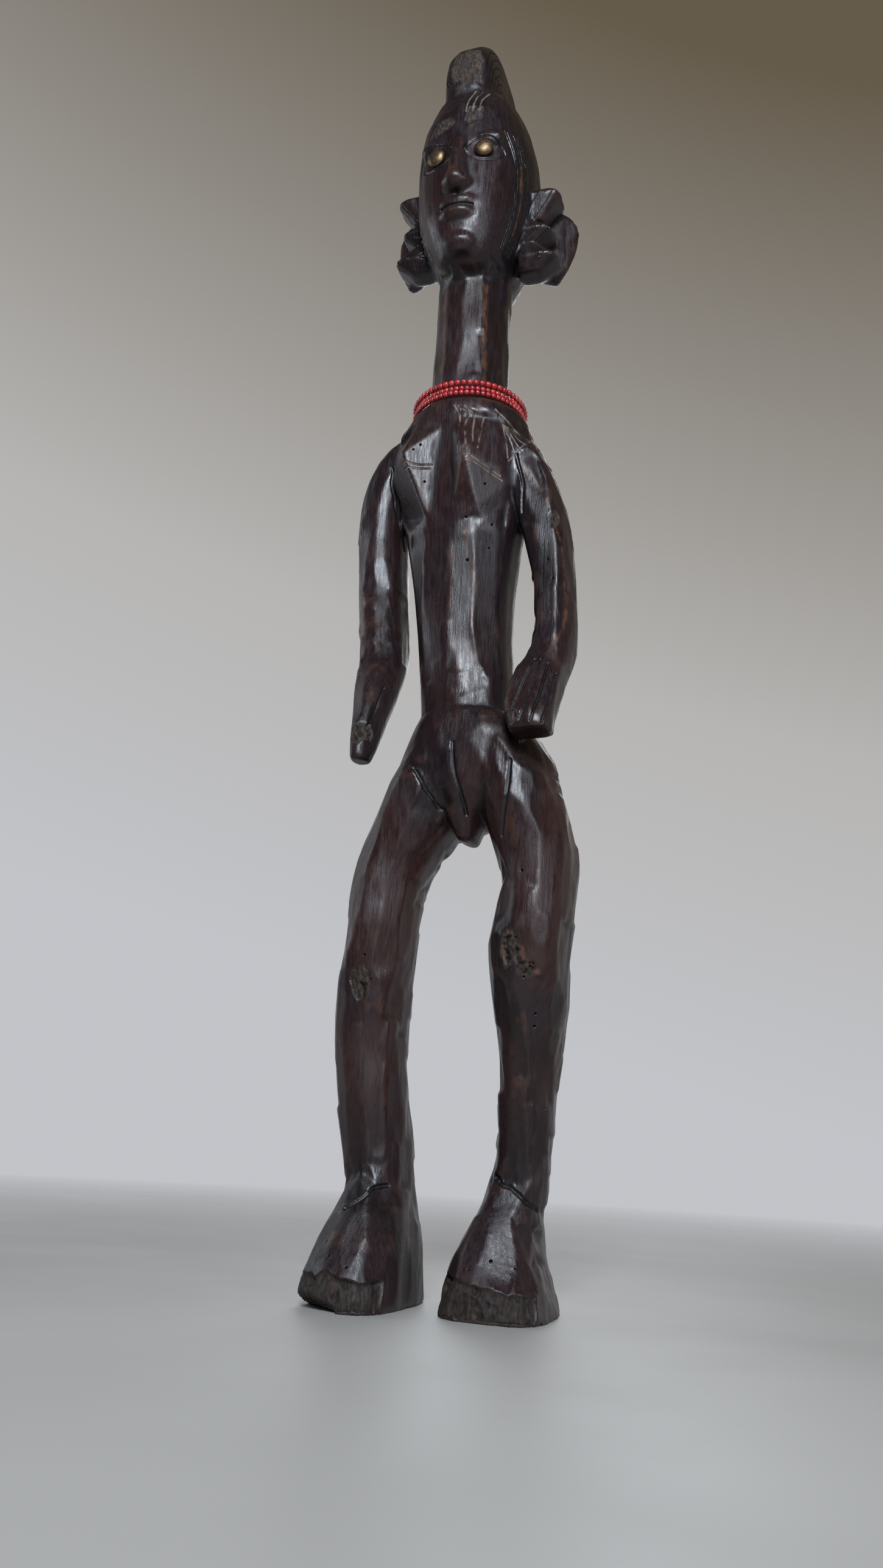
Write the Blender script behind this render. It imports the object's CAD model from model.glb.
# The looks of the carved ancestor figure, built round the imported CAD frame.
# Shapes are worked out in millimetres, in the row frame, and become metres where a mesh is written.
import math

import bmesh
import bpy
import numpy as np
from mathutils import Matrix, Vector
from mathutils.bvhtree import BVHTree
from mathutils.geometry import delaunay_2d_cdt


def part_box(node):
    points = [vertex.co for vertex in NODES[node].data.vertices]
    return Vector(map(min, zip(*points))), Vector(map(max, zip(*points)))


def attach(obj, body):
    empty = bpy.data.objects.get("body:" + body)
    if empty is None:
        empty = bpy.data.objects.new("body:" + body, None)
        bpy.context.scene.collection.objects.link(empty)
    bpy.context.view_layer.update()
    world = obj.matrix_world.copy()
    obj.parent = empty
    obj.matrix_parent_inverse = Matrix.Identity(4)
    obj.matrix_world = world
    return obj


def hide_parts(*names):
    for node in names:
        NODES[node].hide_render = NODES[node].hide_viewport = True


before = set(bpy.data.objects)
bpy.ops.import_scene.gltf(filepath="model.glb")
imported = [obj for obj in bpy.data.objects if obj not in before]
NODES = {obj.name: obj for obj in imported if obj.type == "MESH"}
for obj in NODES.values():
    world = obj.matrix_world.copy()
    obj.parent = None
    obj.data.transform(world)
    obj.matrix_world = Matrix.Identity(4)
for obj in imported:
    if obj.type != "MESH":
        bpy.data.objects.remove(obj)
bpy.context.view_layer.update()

MM = 0.001

# ---- driving dimensions ----------------------------------
VOXEL = 1.5  # the carving's mesh before its fine regions are refined
HEAD_AXIS = (-5.85, -0.43, 0)
HEAD = Matrix.Translation(HEAD_AXIS) @ Matrix.Rotation(math.radians(5), 4, "Z")
CHIN_Z, CROWN_Z = 706, 864
EYE_X, EYE_Z = 18, (CHIN_Z + CROWN_Z) / 2
FACE_Y = -53
THIRD = 0.85 * (CROWN_Z - CHIN_Z) / 3  # chin to nose, nose to brow, brow to hairline
NOSE_BASE_Z = CHIN_Z + THIRD
MOUTH_Z = NOSE_BASE_Z - THIRD / 3
TACK_RADIUS, TACK_HEIGHT, SHANK_RADIUS, SHANK_LENGTH = 7, 4.4, 1.1, 13
BEADS = {"lower": (1.95, 8), "middle": (1.95, 8), "upper": (2.15, 7)}  # bead radius, beads in a run
RUNS = 8  # each string's beads are in this many pieces
THREAD_RADIUS = 0.4
KNOT_ARC = 7  # bare thread at the nape
DRILL_RADIUS = 0.55  # the hole through a bead, wider at its mouths
CAMERA_PLACE = (0.2949, -0.6698, 0.088)  # in metres

rng = np.random.default_rng(11)


# ---- helpers ---------------------------------------------
def on_head(x, y, z):
    return HEAD @ Vector((x, y, z))


def facing(turn, tilt=0):
    """A direction, in degrees from the figure's front towards its left, and upwards."""
    a, e = math.radians(turn), math.radians(tilt)
    return Vector((math.sin(a) * math.cos(e), -math.cos(a) * math.cos(e), math.sin(e)))


def new_object(name, data):
    made = bpy.data.objects.new(name, data)
    bpy.context.scene.collection.objects.link(made)
    return made


def new_piece(name, points, faces, smooth=True):
    mesh = bpy.data.meshes.new(name)
    mesh.from_pydata([tuple(c * MM for c in p) for p in points], [], faces)
    mesh.validate()
    if smooth:
        mesh.polygons.foreach_set("use_smooth", [True] * len(mesh.polygons))
    return new_object(name, mesh)


def add_layer(piece, name, values):
    """A value for each vertex, which the materials read."""
    piece.data.attributes.new(name, "FLOAT", "POINT").data.foreach_set("value", values)


def face_outwards(piece, weld=False):
    shape = bmesh.new()
    shape.from_mesh(piece.data)
    if weld:
        bmesh.ops.remove_doubles(shape, verts=shape.verts, dist=1e-6)
    bmesh.ops.recalc_face_normals(shape, faces=shape.faces)
    shape.to_mesh(piece.data)
    shape.free()


def band(first, second, sides):
    """The faces between two rings of points."""
    pairs = [(j, (j + 1) % sides) for j in range(sides)]
    return [(first + j, first + k, second + k, second + j) for j, k in pairs]


def turns(sides):
    """The angles of a ring's points."""
    return [2 * math.pi * j / sides for j in range(sides)]


def tube(path, radii, sides=10, closed=False):
    """Points and faces of a tube along a path. It is a ring if closed, and has end caps if not."""
    path = [Vector(p) for p in path]
    count = len(path)
    points, faces = [], []
    side = None
    for i, p in enumerate(path):
        before = path[(i - 1) % count] if closed or i else p
        after = path[(i + 1) % count] if closed or i + 1 < count else p
        along = (after - before).normalized()
        side = side or (along.orthogonal() if abs(along.z) > 0.9 else along.cross(Vector((0, 0, 1))))
        side = (side - along * side.dot(along)).normalized()
        up = along.cross(side)
        for a in turns(sides):
            points.append(p + radii[i] * (math.cos(a) * side + math.sin(a) * up))
    for i in range(count if closed else count - 1):
        for j in range(sides):
            a, b = i * sides + j, i * sides + (j + 1) % sides
            c, d = (((i + 1) % count) * sides + k % sides for k in (j + 1, j))
            faces.append((a, d, c, b))
    if not closed:
        faces.append(tuple(range(sides)))
        faces.append(tuple(reversed(range((count - 1) * sides, count * sides))))
    return points, faces


def blob(centre, radii, rings=8, sides=12):
    """Points and faces of a closed egg shape, upright in the row frame."""
    points = [centre + Vector((0, 0, -radii[2]))]
    for i in range(1, rings):
        a = math.pi * i / rings
        for b in turns(sides):
            flat = Vector((math.cos(b) * radii[0], math.sin(b) * radii[1], 0)) * math.sin(a)
            points.append(centre + flat - Vector((0, 0, math.cos(a) * radii[2])))
    points.append(centre + Vector((0, 0, radii[2])))
    faces = [(0, 1 + (j + 1) % sides, 1 + j) for j in range(sides)]
    for i in range(rings - 2):
        faces += band(1 + i * sides, 1 + (i + 1) * sides, sides)
    top = 1 + (rings - 2) * sides
    faces += [(top + j, top + (j + 1) % sides, len(points) - 1) for j in range(sides)]
    return points, faces


def value_noise(points, seed=0):
    """Smooth noise from -1 to 1 at each point."""
    cell = np.floor(points).astype(np.int64)
    share = points - cell
    share = share * share * (3 - 2 * share)
    total = np.zeros(len(points))
    for corner in np.ndindex(2, 2, 2):
        c = cell + corner
        mixed = (c[:, 0] * 73856093) ^ (c[:, 1] * 19349663) ^ (c[:, 2] * 83492791) ^ (seed * 2654435)
        mixed = (mixed ^ (mixed >> 13)) * 1274126177 & 0x7FFFFFFF
        weight = np.prod(np.where(corner, share, 1 - share), axis=1)
        total += weight * (mixed / 0x3FFFFFFF - 1)
    return total


def fractal(points, size, octaves=3, seed=0):
    """Layered noise from about -1 to 1. size is the largest feature's size in x, y and z."""
    total = np.zeros(len(points))
    for k in range(octaves):
        total += value_noise(points / np.array(size) * 2**k + 17.3 * k, seed + k) / 2**k
    return total / (2 - 0.5 ** (octaves - 1))


def smoothstep(x, low, high):
    t = np.clip((x - low) / (high - low), 0, 1)
    return t * t * (3 - 2 * t)


def resample(line, step):
    """Evenly spaced points on a smooth curve through the points of line."""
    line = np.array(line, float)
    padded = np.vstack([2 * line[0] - line[1], line, 2 * line[-1] - line[-2]])
    curve = []
    for a, b, c, d in zip(padded, padded[1:], padded[2:], padded[3:]):
        for t in np.linspace(0, 1, 24, endpoint=False):
            curve.append(0.5 * (2 * b + (c - a) * t + (2 * a - 5 * b + 4 * c - d) * t**2
                                + (3 * b - a - 3 * c + d) * t**3))
    curve = np.array([*curve, line[-1]])
    far = np.concatenate([[0], np.cumsum(np.linalg.norm(np.diff(curve, axis=0), axis=1))])
    wanted = np.linspace(0, far[-1], max(2, round(far[-1] / step) + 1))
    return np.stack([np.interp(wanted, far, curve[:, k]) for k in range(3)], axis=1)


class Carving:
    """The figure's surface in millimetres, with the tools that work it."""

    def __init__(self, piece):
        self.piece = piece
        self.marks = {}
        self.read()

    def read(self):
        mesh = self.piece.data
        mesh.update()
        self.points = np.empty(len(mesh.vertices) * 3)
        mesh.vertices.foreach_get("co", self.points)
        self.points = self.points.reshape(-1, 3) / MM
        self.normals = np.empty(len(mesh.vertices) * 3)
        mesh.vertices.foreach_get("normal", self.normals)
        self.normals = self.normals.reshape(-1, 3)
        edges = np.empty(len(mesh.edges) * 2, np.int64)
        mesh.edges.foreach_get("vertices", edges)
        self.edges = edges.reshape(-1, 2)
        self.count = np.bincount(self.edges.ravel(), minlength=len(self.points))[:, None]
        self.by_height = np.argsort(self.points[:, 2], kind="stable")
        self.heights = self.points[self.by_height, 2]

    def write(self):
        self.points[:, 2] = np.maximum(self.points[:, 2], 0)
        self.piece.data.vertices.foreach_set("co", (self.points * MM).ravel())
        self.read()

    def averaged(self, values):
        """Each vertex's mean over its neighbours."""
        a, b = self.edges.T
        size = len(values)
        sums = [np.bincount(a, column[b], size) + np.bincount(b, column[a], size) for column in values.T]
        return np.stack(sums, axis=1) / self.count

    def soften(self, rounds, where=1.0):
        """Rounds off what is smaller than a few millimetres, without shrinking the shape."""
        for _ in range(rounds):
            for strength in (0.6, -0.62):
                self.polish(strength, where)

    def polish(self, strength, where=1.0):
        step = strength * (self.averaged(self.points) - self.points)
        self.points += step * np.broadcast_to(where, len(step))[:, None]

    def surface(self):
        """The surface as it is now, for finding points on it."""
        shape = bmesh.new()
        shape.from_mesh(self.piece.data)
        tree = BVHTree.FromBMesh(shape)
        shape.free()
        return tree

    def near(self, centre, reach):
        """The vertices in a cube round centre."""
        low, high = np.searchsorted(self.heights, (centre[2] - reach - 3, centre[2] + reach + 3))
        here = self.by_height[low:high]
        return here[np.abs(self.points[here] - np.array(centre)).max(1) < reach]

    def within(self, line, reach):
        """The vertices in a box round a line of points."""
        low, high = line.min(0) - reach, line.max(0) + reach
        first, last = np.searchsorted(self.heights, (low[2] - 3, high[2] + 3))
        here = self.by_height[first:last]
        return here[((self.points[here] > low) & (self.points[here] < high)).all(1)]

    def cut(self, centre, out, along, width, length, depth):
        """One flat adze cut: it takes away what stands higher than depth below centre."""
        here = self.near(centre, length * 0.62)
        rel = self.points[here] - np.array(centre)
        side = np.cross(along, out)
        across, far, height = rel @ side, rel @ np.array(along), rel @ np.array(out)
        core = (np.abs(across) < width / 2) & (np.abs(far) < length / 2)
        if not core.any() or height[core].mean() > 0.25:
            return  # a hollow is left alone
        over = height + depth - depth * (2 * across / width) ** 2 * 0.5 - depth * (2 * far / length) ** 2
        hurt = (over > 0) & (np.abs(height) < 5) & (self.normals[here] @ np.array(out) > 0.3)
        self.points[here[hurt]] -= np.outer(np.minimum(over[hurt], depth * 2), out)

    def adze(self, spacing, width, length, depth, low, high, plain=None):
        """Overlapping cuts between two heights, lengthwise, in a random order, but not where it is plain."""
        start = self.points.copy()
        chosen = self.by_height[slice(*np.searchsorted(self.heights, (low, high)))]
        taken = np.zeros(len(start), bool) if plain is None else plain.copy()
        for i in rng.permutation(chosen):
            if taken[i]:
                continue
            close = self.near(start[i], spacing * 2.4)
            gap = np.linalg.norm((start[close] - start[i]) * (1, 1, 0.42), axis=1)
            taken[close[gap < spacing]] = True
            out = self.normals[i] + rng.normal(0, 0.07, 3)
            out /= np.linalg.norm(out)
            along = np.array([rng.normal(0, 0.1), rng.normal(0, 0.1), 1.0])
            along -= out * (along @ out)
            if np.linalg.norm(along) < 0.5:
                continue
            along /= np.linalg.norm(along)
            size = rng.uniform(0.75, 1.25)
            self.cut(start[i], out, along, width * size, length * size, depth * size)

    def plane_down(self, line, width, depth):
        """One long flat facet that follows line over the surface."""
        tree = self.surface()
        hits = [tree.find_nearest(Vector(p) * MM)[0] / MM for p in resample(line, 4)]
        centres = np.array(hits)
        normal = []
        for centre in centres:
            here = self.near(centre, width * 0.7)
            normal.append(self.normals[here].mean(0))
        normal = np.array(normal)
        for _ in range(4):
            centres[1:-1] = (centres[:-2] + centres[1:-1] * 2 + centres[2:]) / 4
            normal[1:-1] = (normal[:-2] + normal[1:-1] * 2 + normal[2:]) / 4
        along = np.gradient(centres, axis=0)
        along /= np.linalg.norm(along, axis=1)[:, None]
        normal -= along * (normal * along).sum(1)[:, None]
        normal /= np.linalg.norm(normal, axis=1)[:, None]
        side = np.cross(along, normal)
        here = self.within(centres, width)
        rel = self.points[here][:, None] - centres[None]
        best = (rel**2).sum(2).argmin(1)
        rel = rel[np.arange(len(here)), best]
        across, far, height = ((rel * axis[best]).sum(1) for axis in (side, along, normal))
        beyond = np.where(((best == 0) & (far < 0)) | ((best == len(centres) - 1) & (far > 0)), far, 0)
        wavy = width / 2 * (1 + 0.16 * value_noise(self.points[here] / (30, 30, 9), 77))
        edge = np.clip(np.abs(across) - wavy, 0, None)
        over = height + depth - edge**2 / 3 - beyond**2 / 60
        hurt = (over > 0) & (np.abs(height) < 7) & ((self.normals[here] * normal[best]).sum(1) > 0.3)
        self.points[here[hurt]] -= normal[best[hurt]] * np.minimum(over[hurt], 3)[:, None]

    def mark(self, name, where, amount):
        layer = self.marks.setdefault(name, np.zeros(len(self.points)))
        layer[where] = np.maximum(layer[where], amount)

    def distance(self, here, path):
        near = np.full(len(here), 1e9)
        for part in np.array_split(path, max(1, len(path) // 40)):
            gap = self.points[here][:, None] - part[None]
            near = np.minimum(near, np.sqrt((gap**2).sum(2)).min(1))
        return near

    def laid(self, line, step, out=None):
        """Evenly spaced points of a line laid on the surface, seen along -out if it is given."""
        path = []
        for p in resample(line, step):
            p = Vector(p)
            hit = self.tree.ray_cast((p + out * 25) * MM, -out, 0.05)[0] if out else None
            path.append((hit or self.tree.find_nearest(p * MM)[0]) / MM)
        path = np.array(path)
        for _ in range(4):
            path[1:-1] = (path[:-2] + 2 * path[1:-1] + path[2:]) / 4
        return path

    def engrave(self, line, width, depth, out=None, name="cut"):
        """A groove that follows line over the surface. It is marked, so that it can be coloured."""
        path = self.laid(line, 0.6, out)
        here = self.within(path, width)
        near = self.distance(here, path)
        shape = np.clip(1 - (near / (width / 2)) ** 2, 0, 1)
        hurt = shape > 0
        self.points[here[hurt]] -= self.normals[here[hurt]] * (depth * shape[hurt])[:, None]
        self.mark(name, here, smoothstep(near, width * 0.75, width * 0.25))

    def rub(self, line, width, strength=1.0):
        """Marks a ridge that handling has worn brown."""
        path = self.laid(line, 2)
        here = self.within(path, width)
        near = self.distance(here, path) + width * 0.5 * fractal(self.points[here], (5, 5, 8), 3, 71)
        self.mark("rubbed", here, strength * smoothstep(near, width * 0.6, width * 0.1))

    def pit(self, centre, width, depth):
        """A worm's hole."""
        here = self.near(centre, width * 2)
        near = np.linalg.norm(self.points[here] - np.array(centre), axis=1)
        shape = smoothstep(near, width * 0.62, width * 0.38)
        self.points[here] -= self.normals[here] * (depth * shape)[:, None]
        self.mark("hole", here, shape)

    def refine(self, spots, reach):
        """Splits the faces within reach of any of the spots."""
        keep = np.zeros(len(self.points), bool)
        for chunk in np.array_split(spots[np.argsort(spots[:, 2])], max(1, len(spots) // 40)):
            here = self.within(chunk, reach)
            here = here[~keep[here]]
            if len(here):
                keep[here[self.distance(here, chunk) < reach]] = True
        shape = bmesh.new()
        shape.from_mesh(self.piece.data)
        edges = [e for e in shape.edges if keep[e.verts[0].index] and keep[e.verts[1].index]]
        bmesh.ops.subdivide_edges(shape, edges=edges, cuts=1, use_grid_fill=True)
        bmesh.ops.triangulate(shape, faces=[f for f in shape.faces if len(f.verts) > 4])
        shape.to_mesh(self.piece.data)
        shape.free()
        self.read()


# ---- the carving: rough shape ----------------------------
def rough_figure():
    """The CAD figure with the nostrils and nose tip added, fused into one even mesh."""
    shape = bmesh.new()
    shape.from_mesh(NODES["carved_figure"].data)
    parts = [blob(on_head(side * 6.6, FACE_Y - 1.5, NOSE_BASE_Z + 3.5), (4.2, 6, 4.2)) for side in (-1, 1)]
    parts.append(blob(on_head(0, FACE_Y - 3, NOSE_BASE_Z + 4), (6, 6.5, 5)))
    for points, faces in parts:
        made = [shape.verts.new(p * MM) for p in points]
        for face in faces:
            shape.faces.new([made[i] for i in face])
    mesh = bpy.data.meshes.new("carved_wood")
    shape.to_mesh(mesh)
    shape.free()
    piece = new_object("carved_wood", mesh)
    remesh = piece.modifiers.new("fuse", "REMESH")
    remesh.mode = "VOXEL"
    remesh.voxel_size = VOXEL * MM
    fused = bpy.data.meshes.new_from_object(piece.evaluated_get(bpy.context.evaluated_depsgraph_get()))
    piece.modifiers.clear()
    piece.data = fused
    bpy.data.meshes.remove(mesh)
    fused.polygons.foreach_set("use_smooth", [True] * len(fused.polygons))
    return piece


wood = Carving(rough_figure())
height = wood.points[:, 2]
head_points = (wood.points - HEAD_AXIS) @ np.array(HEAD.to_3x3())
on_ears = (np.abs(head_points[:, 0]) > 43) & (height > 700) & (height < 805)
on_face = (head_points[:, 1] < -22) & (height > 700) & (height < 845)
by_strings = smoothstep(height, 562, 572) * smoothstep(height, 606, 598)
wood.soften(4, np.where(on_ears, 0.1, 1))
for _ in range(3):
    wood.polish(0.5, np.where(on_face & (height < 742), 1.0, 0.0))
wood.points += wood.normals * (np.where(height < 1.5, 0, 0.5) * (1 - 0.6 * by_strings))[:, None]
wood.write()
wood.adze(10, 12, 46, 0.62, 8, 340)
on_chest = (np.abs(wood.points[:, 0] + 5) < 48) & (wood.points[:, 2] > 470) & (wood.normals[:, 1] < -0.3)
wood.adze(12, 15, 60, 0.42, 340, 560, on_chest)
wood.adze(10, 12, 40, 0.55, 606, 694)
wood.adze(12, 13, 40, 0.35, 826, 925)
wood.write()

# ---- the carving: the larger facets ----------------------
# Each facet is its centre line, its width and its depth.
LONG_FACETS = [
    ([(2, -24, 694), (3, -24, 660), (3, -24, 636), (0, -25, 608)], 9, 0.5),
    ([(-18, -19, 690), (-19, -18, 650), (-18, -20, 610)], 15, 0.8),
    ([(20, -13, 690), (21, -12, 650), (20, -14, 610)], 15, 0.8),
    ([(9, -35, 472), (12, -35, 440), (11, -34, 410), (17, -31, 386), (22, -28, 374)], 14, 0.9),
    ([(-8, -34, 480), (-8, -34, 440), (-6, -32, 396)], 16, 0.7),
    ([(25, -27, 480), (25, -25, 440), (28, -23, 392)], 16, 0.9),
    ([(-22, -23, 478), (-22, -21, 440), (-19, -20, 396)], 16, 0.9),
    ([(44, -23, 532), (52, -22, 508), (60, -20, 484), (64, -18, 450), (65, -19, 420), (62, -26, 395)],
     22, 1.1),
    ([(62, -34, 380), (59, -40, 364), (57, -45, 350)], 26, 1.0),
    ([(-66, -20, 505), (-70, -18, 470), (-66, -20, 435)], 17, 1.0),
    ([(-57, -24, 470), (-53, -28, 438), (-44, -32, 402)], 13, 0.9),
    ([(-52, -38, 396), (-51, -44, 372), (-46, -54, 350)], 13, 0.9),
    ([(-15, -36, 308), (-23, -35, 288), (-32, -35, 258), (-36, -36, 228), (-40, -34, 196)], 11, 0.8),
    ([(-8, -28, 290), (-19, -30, 262), (-26, -29, 230), (-30, -27, 196)], 16, 1.1),
    ([(-40, -28, 284), (-48, -28, 252), (-54, -28, 214)], 18, 1.0),
    ([(59, -32, 304), (63, -31, 280), (61, -30, 250), (57, -30, 226)], 11, 0.8),
    ([(48, -32, 290), (48, -31, 262), (46, -31, 230)], 15, 1.0),
    ([(71, -22, 292), (74, -22, 262), (71, -23, 228)], 18, 1.0),
    ([(57, -24, 186), (64, -17, 174), (65, -9, 154), (67, 1, 140), (66, 8, 126), (61, 16, 90)], 12, 0.8),
    ([(44, -22, 180), (44, -14, 150), (42, -4, 120), (40, 6, 92)], 18, 1.2),
    ([(-38, -27, 166), (-38, -22, 142), (-38, -18, 120), (-36, -13, 92)], 14, 0.9),
    ([(-58, -28, 172), (-60, -24, 146), (-58, -20, 116), (-54, -14, 88)], 18, 1.1),
    ([(-52, -30, 46), (-50, -36, 38), (-49, -42, 24)], 24, 0.9),
    ([(-26, -14, 56), (-25, -20, 40), (-24, -26, 22)], 18, 0.9),
    ([(42, 2, 60), (43, -6, 44), (42, -13, 26)], 26, 0.8),
]
for line, width, depth in LONG_FACETS:
    wood.plane_down(line, width, depth)
wood.write()

# The breasts are low pyramids with a valley between them. The rim lies on the surface, as (x, z).
CHEST_RIM = [
    (-50, 560), (-28, 572), (-7, 574), (12, 573), (34, 568), (44, 552), (43, 524), (36, 500), (22, 490),
    (4, 486), (-16, 486), (-36, 492), (-48, 510), (-53, 535),
]
RIGHT_APEX, RIGHT_TOP, RIGHT_FOOT = (-31, -51, 539), (-26, -40.5, 566), (-16, -37.5, 494)
LEFT_APEX, LEFT_TOP, LEFT_FOOT = (14, -49, 534), (8, -40, 566), (20, -37, 498)
VALLEY = [(-8, -40, 562), (-12, -39, 530), (-13, -38, 503), (1, -40, 560), (1, -39.5, 530), (5, -38.5, 503)]


def shape_chest():
    """Flat facets between the apexes, the ridges, the valley and the rim."""
    tree = wood.surface()
    inner = [RIGHT_APEX, RIGHT_TOP, RIGHT_FOOT, LEFT_APEX, LEFT_TOP, LEFT_FOOT, *VALLEY]
    ridges = [(0, 1), (0, 2), (3, 4), (3, 5), (6, 7), (7, 8), (9, 10), (10, 11)]
    corners = [(x, y, z, 1.0) for x, y, z in inner]
    for x, z in CHEST_RIM:
        hit = tree.ray_cast(Vector((x, -200, z)) * MM, Vector((0, 1, 0)))[0] / MM
        corners.append((x, hit.y, z, 0.0))
    corners = np.array(corners)
    flat = [Vector((x, z)) for x, _, z, _ in corners]
    made = delaunay_2d_cdt(flat, ridges, [], 0, 1e-4)
    triangles = [[made[3][v][0] for v in face] for face in made[2]]
    p = wood.points
    here = np.flatnonzero((p[:, 2] > 480) & (p[:, 2] < 580) & (p[:, 1] < -20))
    place = p[here][:, [0, 2]]
    for triangle in triangles:
        a, b, c = corners[triangle]
        axes = np.array([(b - a)[[0, 2]], (c - a)[[0, 2]]]).T
        share = np.linalg.solve(axes, (place - a[[0, 2]]).T).T
        inside = (share.min(1) >= 0) & (share.sum(1) <= 1)
        target = a + share[inside] @ np.array([b - a, c - a])
        move = target[:, 1] - p[here[inside], 1]
        p[here[inside], 1] += np.clip(move, -14, 14) * smoothstep(target[:, 3], 0, 0.35)


shape_chest()
wood.write()
wood.polish(0.5)
wood.polish(0.4)
wood.write()

# ---- the carving: incised lines and damage ---------------
CHEST_LINES = [
    [(2, -41, 576), (6, -40, 567), (7, -45, 550), (8, -46, 535)],
    [(5, -40, 575), (11, -39, 569), (11, -42, 558), (14, -46, 540)],
    [(9, -39, 575), (15, -38, 568), (17, -44, 553), (18, -44, 543)],
    [(21, -35, 567), (22, -41, 554), (21, -42, 538)],
    [(-30, -34, 574), (-40, -30, 566), (-46, -28, 556)],
    [(28, -32, 574), (38, -26, 564), (44, -20, 555)],
]
FAN = [[(33, -28, 563), (x, y, z)] for x, y, z in
       [(47, -14, 553), (46, -18, 548), (44, -21, 543), (41, -23, 538), (37, -27, 536), (50, -10, 556)]]
FAN.append([(50, -8, 560), (44, -20, 547), (38, -27, 534)])
BREAST_LINES = [
    [(-31, -49, 534), (-22, -46, 532), (-13, -40, 533)],
    [(-30, -48, 530), (-22, -45, 529), (-14, -40, 530)],
    [(18, -47, 531), (26, -40, 526), (33, -30, 521)],
    [(20, -46, 527), (28, -38, 522), (34, -28, 518)],
]
CREASES = [
    [(-44, -26, 54), (-38, -26, 60), (-30, -20, 66), (-24, -10, 68)],
    [(34, 8, 75), (46, 4, 71), (54, 8, 64), (60, 20, 58)],
    [(12, -36, 332), (13, -34, 316), (16, -30, 302), (18, -22, 288)],
    [(-14, -36, 318), (-6, -32, 304), (2, -22, 290)],
    [(50, -34, 318), (49, -34, 296), (44, -28, 272)],
    [(42, -24, 540), (46, -21, 520), (48, -14, 496), (46, -8, 474)],
    [(-52, -22, 548), (-52, -16, 520), (-48, -4, 492)],
]
FINGERS = [
    [(63, -36, 386), (58, -45, 362), (53, -48, 340)],
    [(67, -34, 384), (64, -44, 360), (60, -47, 338)],
    [(71, -30, 380), (70, -40, 358), (67, -46, 337)],
    [(75, -24, 374), (75, -34, 354), (73, -42, 336)],
    [(-36, -44, 372), (-37, -50, 352), (-38, -56, 338)],
]


def head_line(points):
    return [tuple(on_head(*p)) for p in points]


def side_lines(side):
    """The upright lines in front of an ear, and the long lines on that side of the crest."""
    lines = []
    for k in range(8):
        y = -38 + 3.4 * k + 3.4 * (k > 1) + 3.4 * (k > 4)
        lines.append(([(side * 30, y - 4, 806), (side * 42, y, 780), (side * 42, y + 2, 750),
                       (side * 32, y + 6, 716)], facing(side * (48 + 5 * k))))
    for k in range(7):
        share = 0.92 - 0.075 * k
        arch = [(-48, 862), (-40, 896), (-14, 917), (20, 919), (48, 896), (59, 856), (56, 826)]
        lines.append(([(side * 14, y * share, 830 + (z - 830) * share) for y, z in arch], facing(side * 88)))
    return lines


FRONT = facing(5)
# Each groove is its line, its width and depth, the side it is seen from, and the mark that it leaves.
GROOVES = [(line, 1.3, 0.5, facing(15), "cut") for line in CHEST_LINES + BREAST_LINES]
GROOVES += [(line, 0.9, 0.3, facing(40), "cut") for line in FAN]
GROOVES += [(line, 3.0, 1.1, None, "crease") for line in CREASES]
GROOVES += [(line, 2.0, 1.1, facing(10), "crease") for line in FINGERS]
for side in (-1, 1):
    GROOVES += [(head_line(line), 1.3, 0.5, out, "crease") for line, out in side_lines(side)]
    almond = []
    for a in np.linspace(0, 2 * math.pi, 17):
        rise = 9.6 * math.sin(a) * (1 - 0.25 * math.cos(a) ** 2)
        almond.append((side * EYE_X + 13.4 * math.cos(a), -60, EYE_Z + rise))
    GROOVES.append((head_line(almond), 2.0, 0.6, FRONT, "crease"))
for x in (3, 8, 13):
    line = head_line([(x + 4, -40, 846), (x + 1, -48, 834), (x, -50, 822)])
    GROOVES.append((line, 1.2, 0.4, facing(10), "cut"))
lips = head_line([(x, -60, MOUTH_Z - 0.3 + 0.003 * x * x) for x in (-12, -6, 0, 6, 12)])
GROOVES.append((lips, 2.2, 1.2, FRONT, "crease"))
philtrum = head_line([(0, -60, NOSE_BASE_Z - 4), (0, -60, MOUTH_Z + 9.5)])
GROOVES.append((philtrum, 4.0, 0.6, FRONT, "crease"))

GROOVES.append(([(12, -49, 536), (15, -49, 533)], 6.5, 0.0, None, "cut"))  # a worn pale tip

WORM_HOLES = [
    (12, -35, 491), (14, -34, 460), (28, -27, 487), (23, -33, 514), (-19, -38, 520), (65, -21, 459),
    (69, -21, 445), (-26, -44, 543), (-22, -42, 547), (-32, -43, 24), (-50, -36, 36), (-45, -41, 29),
    (27, -15, 26), (30, -15, 26), (42, -12, 32), (55, -8, 29), (64, 2, 18), (65, -14, 167), (64, -12, 160),
    (63, 11, 115), (64, -25, 193), (60, -24, 187), (30, -30, 470), (-40, -33, 200), (58, -30, 250),
]
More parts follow.
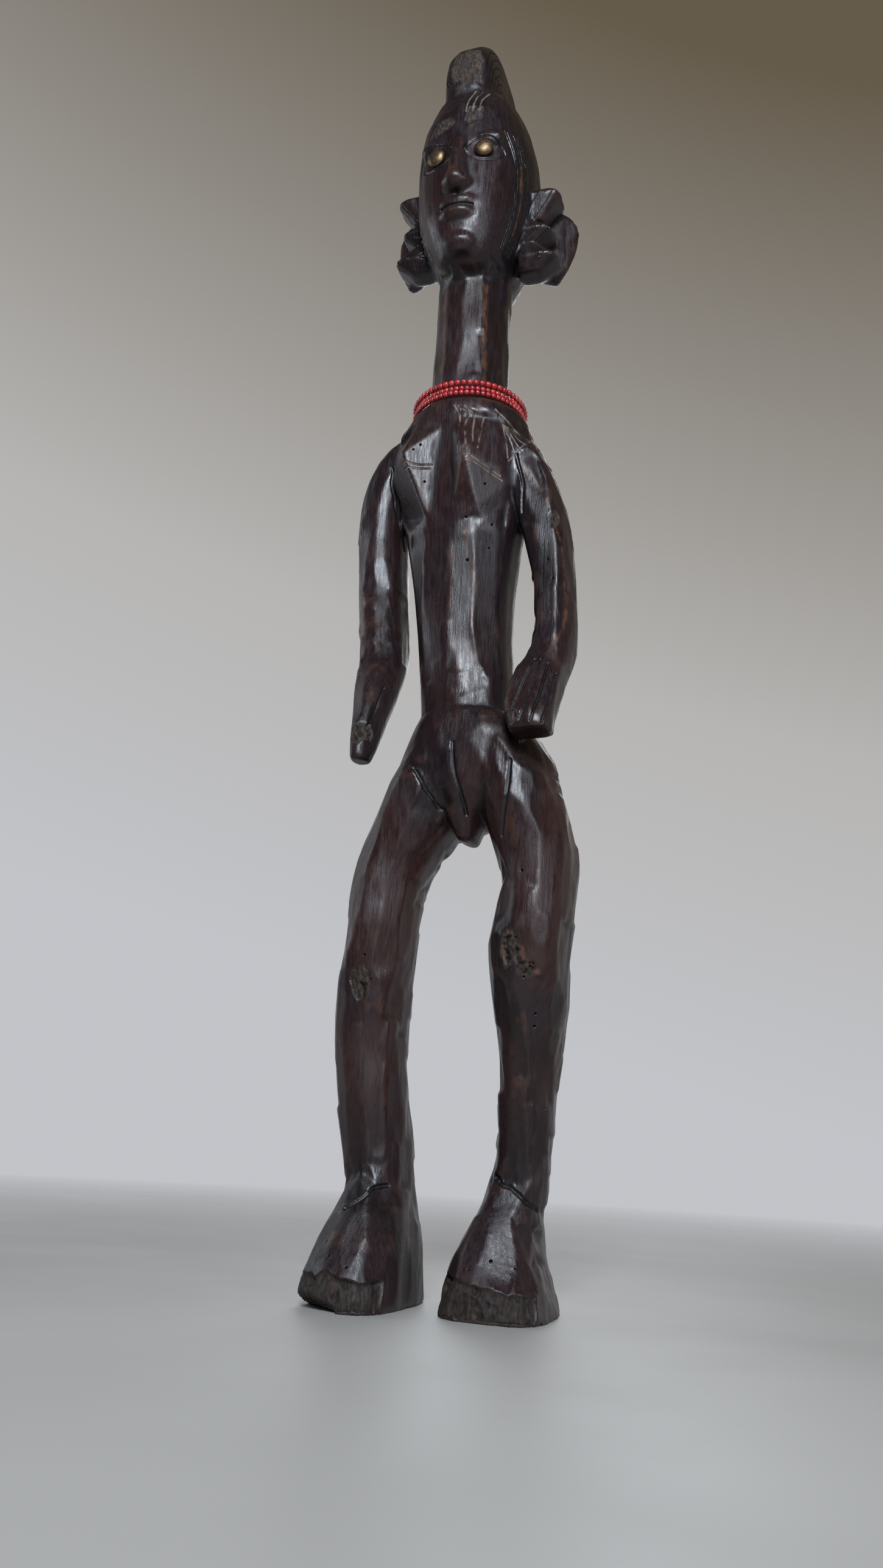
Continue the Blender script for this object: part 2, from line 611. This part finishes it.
# Each worn or worm-eaten place is its middle, its half sizes, its depth and how coarse its grain is.
WORN = [
    ((52, -28, 203), (7, 10, 13), 2.4, 2.6),
    ((62, -25, 192), (6, 8, 6), 1.5, 2.2),
    ((-43, -32, 184), (8, 10, 11), 2.4, 2.8),
    (tuple(on_head(10, -52, 818)), (8, 9, 9), 1.2, 2.2),
    (tuple(on_head(-17, -50, 814)), (12, 10, 8), 1.1, 2.2),
    (tuple(on_head(0, -46, 876)), (17, 7, 26), 0.5, 2.4),
    ((68, -18, 489), (4, 6, 8), 1.4, 2.0),
    ((14, -50, 533), (3.5, 4, 4), 0.4, 1.4),
    ((52, -44, 341), (10, 8, 6), 2.0, 2.6),
    ((-41, -58, 336), (9, 8, 9), 2.0, 2.6),
]
# Each rubbed ridge is its line, its width and how brown it is.
RUBBED = [
    ([(44, -24, 536), (58, -21, 515), (67, -19, 490), (73, -15, 465), (77, -14, 421), (70, -25, 391)],
     3.2, 1.0),
    ([(13, -36, 480), (19, -31, 440), (17, -32, 406), (24, -27, 374)], 3.5, 0.7),
    ([(4, -36, 470), (4, -35, 430), (8, -33, 396), (18, -30, 372)], 3.0, 0.6),
    ([(-20, -20, 690), (-19, -21, 650), (-18, -23, 612)], 6.0, 0.9),
    ([(12, -19, 690), (13, -19, 650), (14, -19, 608)], 5.0, 0.7),
    (head_line([(38, -26, 784), (41, -24, 760), (36, -20, 730)]), 4.5, 1.0),
    (head_line([(-40, -26, 784), (-42, -24, 760), (-36, -20, 730)]), 4.5, 0.8),
    ([(-16, -38, 500), (-17, -40, 516), (-14, -39, 532)], 2.5, 0.8),
    ([(50, -30, 215), (60, -28, 200), (68, -22, 190)], 5.0, 1.0),
    ([(11, -48, 530), (15, -48, 526), (19, -46, 529)], 5.0, 1.0),
]

wood.tree = wood.surface()
paths = np.vstack([wood.laid(line, 1.8, out) for line, _, _, out, _ in GROOVES])
spots = np.array([wood.tree.find_nearest(Vector(p) * MM)[0] / MM for p in WORM_HOLES])
eroded = np.zeros(len(wood.points), bool)
WORN = [(tuple(wood.tree.find_nearest(Vector(middle) * MM)[0] / MM), *rest) for middle, *rest in WORN]
for middle, half, _, _ in WORN:
    eroded |= np.linalg.norm((wood.points - np.array(middle)) / np.array(half), axis=1) < 1.25
eroded |= (wood.points[:, 2] < 30) & (wood.points[:, 1] < 10) & (wood.normals[:, 1] < 0.1)
fine = np.vstack([paths, spots])
wood.refine(np.vstack([fine, wood.points[eroded][::6]]), 2.8)
wood.refine(fine, 1.9)
wood.polish(0.4)
wood.write()
wood.tree = wood.surface()

for line, width, depth, out, name in GROOVES:
    wood.engrave(line, width, depth, out, name)
for line, width, strength in RUBBED:
    wood.rub(line, width, strength)
wood.write()


def wear_away(middle, half, depth, grain):
    """Rough, fibrous loss round a place, ragged at its edge."""
    near = np.linalg.norm((wood.points - np.array(middle)) / np.array(half), axis=1)
    here = np.flatnonzero(near < 1.3)
    p = wood.points[here]
    ragged = near[here] + 0.45 * fractal(p, (grain * 1.6,) * 2 + (grain * 3,), 3, 5)
    amount = smoothstep(ragged, 1.0, 0.72)
    fibres = fractal(p, (grain * 0.55, grain * 0.55, grain * 2.2), 3, 9)
    holes = smoothstep(fractal(p, (grain * 0.8, grain * 0.8, grain * 1.3), 2, 13), 0.12, 0.5)
    loss = amount * depth * (0.3 + 0.45 * np.abs(fibres) + 0.8 * holes)
    wood.points[here] -= wood.normals[here] * loss[:, None]
    wood.mark("raw", here, amount)
    wood.mark("hole", here, amount * holes * 0.8 * (depth > 1))


def break_toes(from_x, to_x, top, lean):
    """The split end grain along a foot's front, below a ragged line at height top."""
    p, normals = wood.points, wood.normals
    inside = (p[:, 0] > from_x) & (p[:, 0] < to_x) & (p[:, 2] < top + 16) & (p[:, 1] < 20)
    here = np.flatnonzero(inside & (normals[:, 1] < 0.2))
    p = p[here]
    line = top + lean * (p[:, 0] - from_x) + 7 * fractal(p * (1, 0.4, 0.1), (14, 14, 30), 3, 21)
    amount = smoothstep(line - p[:, 2], -0.4, 0.8) * smoothstep(-normals[here, 1], 0.1, 0.4)
    flutes = fractal(p, (2.4, 2.8, 16), 3, 31)
    chips = smoothstep(fractal(p, (6, 6, 8), 2, 41), 0.1, 0.5)
    loss = amount * (1.3 + 1.4 * np.abs(flutes) + 1.8 * chips)
    wood.points[here] -= wood.normals[here] * loss[:, None]
    wood.mark("raw", here, amount)


for spot in spots:
    wood.pit(spot, rng.uniform(1.0, 1.5), 2.2)
for middle, half, depth, grain in WORN:
    wear_away(middle, half, depth, grain)
break_toes(-80, -8, 19, 0.02)
break_toes(4, 80, 20, -0.06)
grain = 0.035 * fractal(wood.points, (4, 4, 40), 3, 51) + 0.03 * fractal(wood.points, (1.6, 1.6, 24), 2, 61)
wood.points += wood.normals * grain[:, None]
wood.write()


def relief():
    """How far each vertex stands out of its surroundings: 1 on a ridge, -1 in a hollow."""
    smooth = wood.points.copy()
    for _ in range(14):
        smooth += 0.7 * (wood.averaged(smooth) - smooth)
    out = ((wood.points - smooth) * wood.normals).sum(1)[:, None]
    return np.clip(wood.averaged(out)[:, 0] / 0.3, -1, 1)


wood.marks["relief"] = relief()
for name in ("relief", "cut", "crease", "raw", "hole", "rubbed"):
    add_layer(wood.piece, name, wood.marks[name].astype(np.float32))


# ---- materials -------------------------------------------
class Shader:
    """A node material with one Principled BSDF."""

    def __init__(self, name, **constants):
        self.material = bpy.data.materials.new(name)
        self.material.use_nodes = True
        self.tree = self.material.node_tree
        self.surface = self.tree.nodes["Principled BSDF"]
        for socket, value in constants.items():
            self.surface.inputs[socket.replace("_", " ")].default_value = value

    def node(self, kind, inputs=(), **settings):
        made = self.tree.nodes.new("ShaderNode" + kind)
        for key, value in settings.items():
            setattr(made, key, value)
        for key, value in dict(inputs).items():
            if isinstance(value, bpy.types.NodeSocket):
                self.tree.links.new(value, made.inputs[key])
            else:
                made.inputs[key].default_value = value
        return made

    def noise(self, size, detail=4, rough=0.55, distortion=0.0):
        """Noise whose features have these sizes in x, y and z, in millimetres."""
        where = self.node("TexCoord").outputs["Object"]
        scale = tuple(1 / (s * MM) for s in size)
        placed = self.node("Mapping", {"Vector": where, "Scale": scale}).outputs["Vector"]
        return self.node("TexNoise", {"Vector": placed, "Scale": 1.0, "Detail": detail,
                                      "Roughness": rough, "Distortion": distortion}).outputs["Fac"]

    def layer(self, name):
        return self.node("Attribute", attribute_name=name).outputs["Fac"]

    def height(self):
        where = self.node("TexCoord").outputs["Object"]
        return self.node("SeparateXYZ", {"Vector": where}).outputs["Z"]

    def ramp(self, value, low, high, start=0.0, end=1.0):
        return self.node("MapRange", {"Value": value, "From Min": low, "From Max": high,
                                      "To Min": start, "To Max": end}).outputs["Result"]

    def math(self, operation, a, b):
        return self.node("Math", {0: a, 1: b}, operation=operation).outputs[0]

    def times(self, a, b):
        return self.math("MULTIPLY", a, b)

    def mix(self, share, a, b):
        a, b = (c if isinstance(c, bpy.types.NodeSocket) else (*c, 1) for c in (a, b))
        return self.node("Mix", {"Factor": share, 6: a, 7: b}, data_type="RGBA").outputs[2]

    def bump(self, height, distance, strength=1.0, under=None):
        inputs = {"Height": height, "Distance": distance * MM, "Strength": strength}
        if under:
            inputs["Normal"] = under
        return self.node("Bump", inputs).outputs["Normal"]

    def finish(self, **sockets):
        for socket, value in sockets.items():
            self.tree.links.new(value, self.surface.inputs[socket.replace("_", " ")])
        return self.material


def wood_material():
    s = Shader("dark_patinated_wood", Specular_IOR_Level=0.4)
    blotch = s.ramp(s.noise((60, 60, 110), 3), 0.38, 0.66)
    second = s.ramp(s.noise((34, 34, 90), 4, 0.6, 0.4), 0.42, 0.68)
    fibre = s.noise((1.5, 1.5, 22), 5, 0.65)
    streak = s.ramp(s.noise((5, 5, 70), 4, 0.6), 0.4, 0.7)
    relief_value, raw, cut = s.layer("relief"), s.layer("raw"), s.layer("cut")

    colour = s.mix(blotch, (0.0075, 0.0055, 0.0062), (0.027, 0.0115, 0.0115))
    colour = s.mix(s.times(second, 0.7), colour, (0.020, 0.0105, 0.0140))
    legs = s.times(s.ramp(s.height(), 0.08, 0.13), s.ramp(s.height(), 0.35, 0.30))
    warm = s.times(legs, s.ramp(s.noise((40, 40, 120), 4), 0.4, 0.56))
    colour = s.mix(s.times(warm, 0.75), colour, (0.034, 0.0135, 0.0118))
    colour = s.mix(s.times(s.ramp(fibre, 0.52, 0.78), 0.35), colour, (0.040, 0.020, 0.017))
    colour = s.mix(s.times(s.ramp(fibre, 0.5, 0.3), 0.6), colour, (0.005, 0.0045, 0.005))

    ridge = s.times(s.ramp(relief_value, 0.45, 1.0), s.ramp(s.noise((12, 12, 22), 4), 0.5, 0.66))
    colour = s.mix(s.times(ridge, 0.4), colour, (0.08, 0.038, 0.025))
    rubbed = s.times(s.layer("rubbed"), s.ramp(s.noise((2.4, 2.4, 9), 4), 0.36, 0.6))
    colour = s.mix(s.times(rubbed, 0.85), colour, (0.125, 0.056, 0.034))
    rust = s.times(s.ramp(s.noise((20, 20, 52), 3), 0.6, 0.74), streak)
    colour = s.mix(s.times(rust, 0.3), colour, (0.07, 0.025, 0.012))
    hollow = s.ramp(relief_value, -0.25, -0.9)
    colour = s.mix(s.times(hollow, 0.6), colour, (0.005, 0.0045, 0.005))
    colour = s.mix(s.times(s.layer("crease"), 0.75), colour, (0.004, 0.0035, 0.004))

    grain_ends = s.ramp(s.noise((1.6, 1.6, 4), 5, 0.7), 0.42, 0.62)
    raw_tone = s.mix(grain_ends, (0.005, 0.004, 0.0035), (0.075, 0.049, 0.032))
    raw_tone = s.mix(s.ramp(s.noise((11, 11, 16), 3), 0.6, 0.72), raw_tone, (0.10, 0.05, 0.024))
    raw_tone = s.mix(s.ramp(s.height(), 0.06, 0.035, 0.0, 0.6), raw_tone, (0.010, 0.0075, 0.0065))
    colour = s.mix(s.times(raw, 0.85), colour, raw_tone)
    pale = s.times(cut, s.ramp(s.noise((5, 5, 8), 3), 0.38, 0.56))
    colour = s.mix(s.times(pale, 0.85), colour, (0.18, 0.14, 0.11))
    colour = s.mix(s.layer("hole"), colour, (0.003, 0.0025, 0.0025))
    speck = s.ramp(s.noise((1.3, 1.3, 1.3), 2), 0.735, 0.76)
    colour = s.mix(s.times(speck, 0.3), colour, (0.16, 0.12, 0.09))

    rough = s.ramp(s.noise((26, 26, 60), 4), 0.3, 0.7, 0.21, 0.34)
    rough = s.math("ADD", rough, s.ramp(s.noise((5, 5, 14), 5, 0.65), 0.46, 0.66, 0.0, 0.16))
    rough = s.math("ADD", rough, s.ramp(fibre, 0.35, 0.7, -0.03, 0.12))
    rough = s.math("ADD", rough, s.times(raw, 0.4))
    rough = s.math("ADD", rough, s.times(hollow, 0.15))
    normal = s.bump(fibre, 0.4, 0.5)
    normal = s.bump(s.noise((3.0, 3.0, 10), 4), 0.35, 0.3, under=normal)
    normal = s.bump(s.noise((0.8, 0.8, 1.8), 3), 0.12, 0.4, under=normal)
    return s.finish(Base_Color=colour, Roughness=rough, Normal=normal)


def brass_material():
    s = Shader("aged_brass", Metallic=1.0)
    tarnish = s.ramp(s.noise((3.6, 3.6, 3.6), 5, 0.6), 0.4, 0.66)
    rim = s.layer("rim")
    colour = s.mix(tarnish, (0.22, 0.15, 0.09), (0.105, 0.066, 0.040))
    colour = s.mix(rim, colour, (0.04, 0.026, 0.018))
    rough = s.ramp(s.noise((1.5, 1.5, 1.5), 4), 0.3, 0.7, 0.38, 0.56)
    rough = s.math("ADD", rough, s.times(rim, 0.3))
    normal = s.bump(s.noise((2.4, 2.4, 2.4), 4), 0.25, 0.35)
    return s.finish(Base_Color=colour, Roughness=rough, Normal=normal)


def glass_material():
    s = Shader("red_glass_bead", Coat_Weight=0.35, Coat_Roughness=0.12)
    tone = s.layer("tone")
    colour = s.mix(tone, (0.25, 0.012, 0.018), (0.50, 0.035, 0.035))
    colour = s.mix(s.times(s.ramp(s.noise((1.6, 1.6, 1.6), 3), 0.45, 0.75), 0.35),
                   colour, (0.17, 0.012, 0.016))
    colour = s.mix(s.layer("mouth"), colour, (0.05, 0.008, 0.008))
    rough = s.ramp(s.noise((1.1, 1.1, 1.1), 3), 0.3, 0.7, 0.24, 0.42)
    normal = s.bump(s.noise((0.9, 0.9, 0.9), 3), 0.1, 0.3)
    return s.finish(Base_Color=colour, Roughness=rough, Normal=normal)


def cotton_material():
    s = Shader("dark_cotton", Roughness=0.9)
    strand = s.noise((0.25, 0.25, 0.9), 4)
    colour = s.mix(s.ramp(strand, 0.35, 0.65), (0.03, 0.018, 0.014), (0.09, 0.05, 0.04))
    return s.finish(Base_Color=colour, Normal=s.bump(strand, 0.15, 0.6))


def floor_material():
    s = Shader("pale_floor")
    colour = s.mix(s.ramp(s.noise((420, 420, 420), 3), 0.35, 0.7), (0.36, 0.345, 0.325), (0.41, 0.395, 0.375))
    rough = s.ramp(s.noise((130, 130, 130), 3), 0.3, 0.7, 0.42, 0.52)
    where = s.node("TexCoord").outputs["Object"]
    from_middle = s.node("VectorMath", {0: where}, operation="LENGTH").outputs["Value"]
    return s.finish(Base_Color=colour, Roughness=rough, Alpha=s.ramp(from_middle, 0.45, 1.9, 1.0, 0.0))


def finish_piece(piece, material, slot, body, *stands_for):
    piece.data.materials.clear()
    piece.data.materials.append(material)
    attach(piece, body)
    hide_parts(*stands_for)


finish_piece(wood.piece, wood_material(), "wood", "figure", "carved_figure")


# ---- eye tacks -------------------------------------------
def tack(side, material):
    """A hammered dome with a slightly turned-down rim, and its shank."""
    profile = [(0.0, -SHANK_LENGTH), (0.5, 0.4 - SHANK_LENGTH), (SHANK_RADIUS, 3 - SHANK_LENGTH)]
    profile += [(SHANK_RADIUS, -0.5), (TACK_RADIUS - 1, -0.35), (TACK_RADIUS - 0.2, -0.1), (TACK_RADIUS, 0.3)]
    profile += [(TACK_RADIUS * math.cos(a), 0.6 + (TACK_HEIGHT - 0.6) * math.sin(a))
                for a in np.linspace(0.12, math.pi / 2, 12)]
    sides = 48
    place = HEAD @ Matrix.Translation((side * EYE_X, FACE_Y + 3, EYE_Z))
    place = place @ Matrix.Rotation(side * 0.2, 4, "Z") @ Matrix.Rotation(math.pi / 2, 4, "X")
    points, faces, rim = [], [], []
    for radius, height in profile:
        for a in turns(sides):
            dent = 1 + 0.008 * math.sin(3 * a + side) + 0.005 * math.sin(7 * a)
            points.append(place @ Vector((radius * dent * math.cos(a), radius * dent * math.sin(a), height)))
            rim.append(1.0 if height < 0.6 else max(0.0, 1 - (height - 0.6) / 0.9))
    for i in range(len(profile) - 1):
        faces += band(i * sides, (i + 1) * sides, sides)
    name = "right" if side < 0 else "left"
    piece = new_piece(f"brass_tack_{name}", points, faces)
    add_layer(piece, "rim", rim)
    face_outwards(piece, weld=True)
    finish_piece(piece, material, "brass", "figure", f"eye_tack_{name}")


brass = brass_material()
for side in (-1, 1):
    tack(side, brass)


# ---- bead strings ----------------------------------------
def string_ring(name):
    """The centre and radius of a string's ring, from the thread in the frame."""
    low, high = (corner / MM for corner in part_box(f"{name}_thread"))
    return (low + high) / 2, (high.x - low.x) / 2 - THREAD_RADIUS


def ring_frame(centre, ring_radius, along):
    """The middle of a string at an angle from the nape, with its tangent and outward directions."""
    out = Vector((-math.sin(along), math.cos(along), 0))
    tangent = Vector((-math.cos(along), -math.sin(along), 0))
    return centre + out * ring_radius, tangent, out


def smooth_end(share):
    return max(0.0, min(1.0, (share - 0.86) / 0.14)) * 0.8


def bead_run(name, number, material):
    """The pressed glass beads of one run, each drilled through, and each a little different."""
    centre, ring_radius = string_ring(name)
    bead_radius, count = BEADS[name]
    arc = (2 * math.pi - KNOT_ARC / ring_radius) / RUNS
    start = KNOT_ARC / ring_radius / 2 + number * arc
    pitch = arc * ring_radius / count
    points, faces, tones, mouths = [], [], [], []
    sides = 20
    for k in range(count):
        along = start + arc * (k + 0.5) / count
        middle, tangent, out = ring_frame(centre, ring_radius, along)
        up = Vector((0, 0, 1))
        tangent = (tangent + out * rng.normal(0, 0.05) + up * rng.normal(0, 0.05)).normalized()
        out = (out - tangent * out.dot(tangent)).normalized()
        up = tangent.cross(out)
        wide = bead_radius * rng.uniform(0.93, 1.0)
        half = pitch / 2 * rng.uniform(0.93, 0.985)
        tone = rng.uniform(0.15, 1.0)
        profile = []
        for a in np.linspace(-1.25, 1.25, 11):
            profile.append((half * math.sin(a), wide * (0.1 + 0.9 * math.cos(a) ** 0.7), 0.0))
        profile += [(half * 0.96, 0.8, 0.8), (half * 0.5, DRILL_RADIUS, 1)]
        profile += [(-half * 0.5, DRILL_RADIUS, 1), (-half * 0.96, 0.8, 0.8)]
        first = len(points)
        for far, radius, mouth in profile:
            for a in turns(sides):
                points.append(middle + tangent * far + (out * math.cos(a) + up * math.sin(a)) * radius)
                tones.append(tone)
                mouths.append(max(mouth, smooth_end(abs(far) / half)))
        rows = len(profile)
        for i in range(rows):
            faces += band(first + i * sides, first + (i + 1) % rows * sides, sides)
    piece = new_piece(f"{name}_glass_beads_{number + 1}", points, faces)
    add_layer(piece, "tone", tones)
    add_layer(piece, "mouth", mouths)
    face_outwards(piece)
    finish_piece(piece, material, "bead_glass", f"{name}_beads", f"{name}_beads_{number + 1}")


def thread_piece(name, material):
    """Two plies twisted together, all the way round."""
    centre, ring_radius = string_ring(name)
    points, faces = [], []
    for ply in (0, math.pi):
        path = []
        for along in turns(360):
            middle, _, out = ring_frame(centre, ring_radius, along)
            a = 60 * along + ply
            path.append(middle + (out * math.cos(a) + Vector((0, 0, 1)) * math.sin(a)) * 0.2)
        more, more_faces = tube(path, [0.22] * len(path), 6, closed=True)
        faces += [tuple(i + len(points) for i in face) for face in more_faces]
        points += more
    finish_piece(new_piece(f"{name}_twisted_thread", points, faces), material, "cotton",
                 f"{name}_string", f"{name}_thread")


def knot_piece(name, material):
    """An overhand knot pulled tight, with two short ends."""
    middle, tangent, out = ring_frame(*string_ring(name), 0)
    up = Vector((0, 0, 1))
    path = []
    for a in turns(60):
        reach = 0.95 + 0.42 * math.cos(3 * a)
        path.append(middle + out * reach * math.cos(2 * a) + up * reach * math.sin(2 * a)
                    + tangent * 0.85 * math.sin(3 * a))
    points, faces = tube(path, [0.36] * len(path), 8, closed=True)
    for side in (-1, 1):
        end = [middle + tangent * side * t * 1.7 + out * t * 1.0 - up * t * t * 0.5 for t in (0.3, 0.7, 1.0)]
        more, more_faces = tube(end, [0.34, 0.32, 0.26], 8)
        faces += [tuple(i + len(points) for i in face) for face in more_faces]
        points += more
    finish_piece(new_piece(f"{name}_tied_knot", points, faces), material, "cotton",
                 f"{name}_beads", f"{name}_knot")


glass, cotton = glass_material(), cotton_material()
for name in BEADS:
    for number in range(RUNS):
        bead_run(name, number, glass)
    thread_piece(name, cotton)
    knot_piece(name, cotton)


# ---- floor, light and camera -----------------------------
def floor_piece():
    reach, sides = 6000, 64
    points = [(0, 0, 0)]
    for radius in (600, 2000, reach):
        points += [(radius * math.cos(a), radius * math.sin(a), 0) for a in turns(sides)]
    faces = [(0, 1 + j, 1 + (j + 1) % sides) for j in range(sides)]
    for i in range(2):
        for j in range(sides):
            a, b = 1 + i * sides + j, 1 + i * sides + (j + 1) % sides
            faces.append((a, a + sides, b + sides, b))
    floor = new_piece("floor", points, faces, smooth=False)
    floor.data.materials.append(floor_material())


def soft_light(name, place, target, size, power, colour):
    """A rectangular softbox, with place, target and size in metres."""
    lamp = bpy.data.lights.new(name, "AREA")
    lamp.shape = "RECTANGLE"
    lamp.size, lamp.size_y = size
    lamp.energy = power
    lamp.color = colour
    holder = new_object(name, lamp)
    way = Vector(target) - Vector(place)
    holder.location = place
    holder.rotation_euler = way.to_track_quat("-Z", "Y").to_euler()


def studio():
    soft_light("window", (0.70, -1.75, 1.35), (0, 0, 0.5), (0.6, 0.6), 55, (0.83, 0.91, 1.0))
    soft_light("low_right", (1.6, -1.1, 0.6), (0, 0, 0.35), (0.3, 0.7), 8, (0.83, 0.91, 1.0))
    soft_light("left", (-1.6, -0.3, 1.0), (0, 0, 0.5), (0.35, 1.1), 5, (0.84, 0.92, 1.0))
    soft_light("from_behind", (-0.5, 1.6, 1.3), (0, 0, 0.5), (0.9, 1.2), 9, (0.9, 0.95, 1.0))
    world = bpy.data.worlds.new("studio")
    bpy.context.scene.world = world
    world.use_nodes = True
    tree = world.node_tree
    where = tree.nodes.new("ShaderNodeTexCoord")
    split = tree.nodes.new("ShaderNodeSeparateXYZ")
    tree.links.new(where.outputs["Generated"], split.inputs[0])
    sloping = tree.nodes.new("ShaderNodeVectorMath")
    sloping.operation = "DOT_PRODUCT"
    tree.links.new(where.outputs["Generated"], sloping.inputs[0])
    sloping.inputs[1].default_value = (0.28, 0, 1)
    height = tree.nodes.new("ShaderNodeValToRGB")
    tree.links.new(sloping.outputs["Value"], height.inputs[0])
    low, high = height.color_ramp.elements
    low.color = (0.54, 0.55, 0.58, 1)
    high.color = (0.13, 0.105, 0.07, 1)
    high.position = 0.72
    middle = height.color_ramp.elements.new(0.3)
    middle.color = (0.47, 0.46, 0.45, 1)
    back = tree.nodes.new("ShaderNodeMapRange")
    tree.links.new(split.outputs["Y"], back.inputs["Value"])
    for key, value in (("From Min", -0.3), ("From Max", 0.6), ("To Min", 0.06), ("To Max", 1.0)):
        back.inputs[key].default_value = value
    # The backdrop is pale wherever it is seen, but most of the light that it gives is from behind the figure.
    seen = tree.nodes.new("ShaderNodeLightPath").outputs["Is Camera Ray"]
    strength = tree.nodes.new("ShaderNodeMath")
    strength.operation = "MAXIMUM"
    tree.links.new(back.outputs["Result"], strength.inputs[0])
    tree.links.new(seen, strength.inputs[1])
    tree.links.new(height.outputs["Color"], tree.nodes["Background"].inputs["Color"])
    tree.links.new(strength.outputs[0], tree.nodes["Background"].inputs["Strength"])


def camera():
    """The camera stands low in front, to the figure's left, and looks up at it with a slight roll."""
    turn, tilt, roll = (math.radians(a) for a in (24.5, 17.3, 3.3))
    across = Vector((math.cos(turn), math.sin(turn), 0))
    level = Vector((-math.sin(turn), math.cos(turn), 0))
    down = math.sin(tilt) * level - Vector((0, 0, math.cos(tilt)))
    ahead = math.cos(tilt) * level + Vector((0, 0, math.sin(tilt)))
    right = math.cos(roll) * across - math.sin(roll) * down
    up = -(math.sin(roll) * across + math.cos(roll) * down)
    lens = bpy.data.cameras.new("camera")
    lens.sensor_width = 36
    lens.lens = 27.06
    lens.clip_start = 0.01
    holder = new_object("camera", lens)
    looking = Matrix((right, up, -ahead)).transposed().to_4x4()
    holder.matrix_world = Matrix.Translation(CAMERA_PLACE) @ looking
    bpy.context.scene.camera = holder


floor_piece()
studio()
camera()
bpy.context.scene.view_settings.view_transform = "Standard"
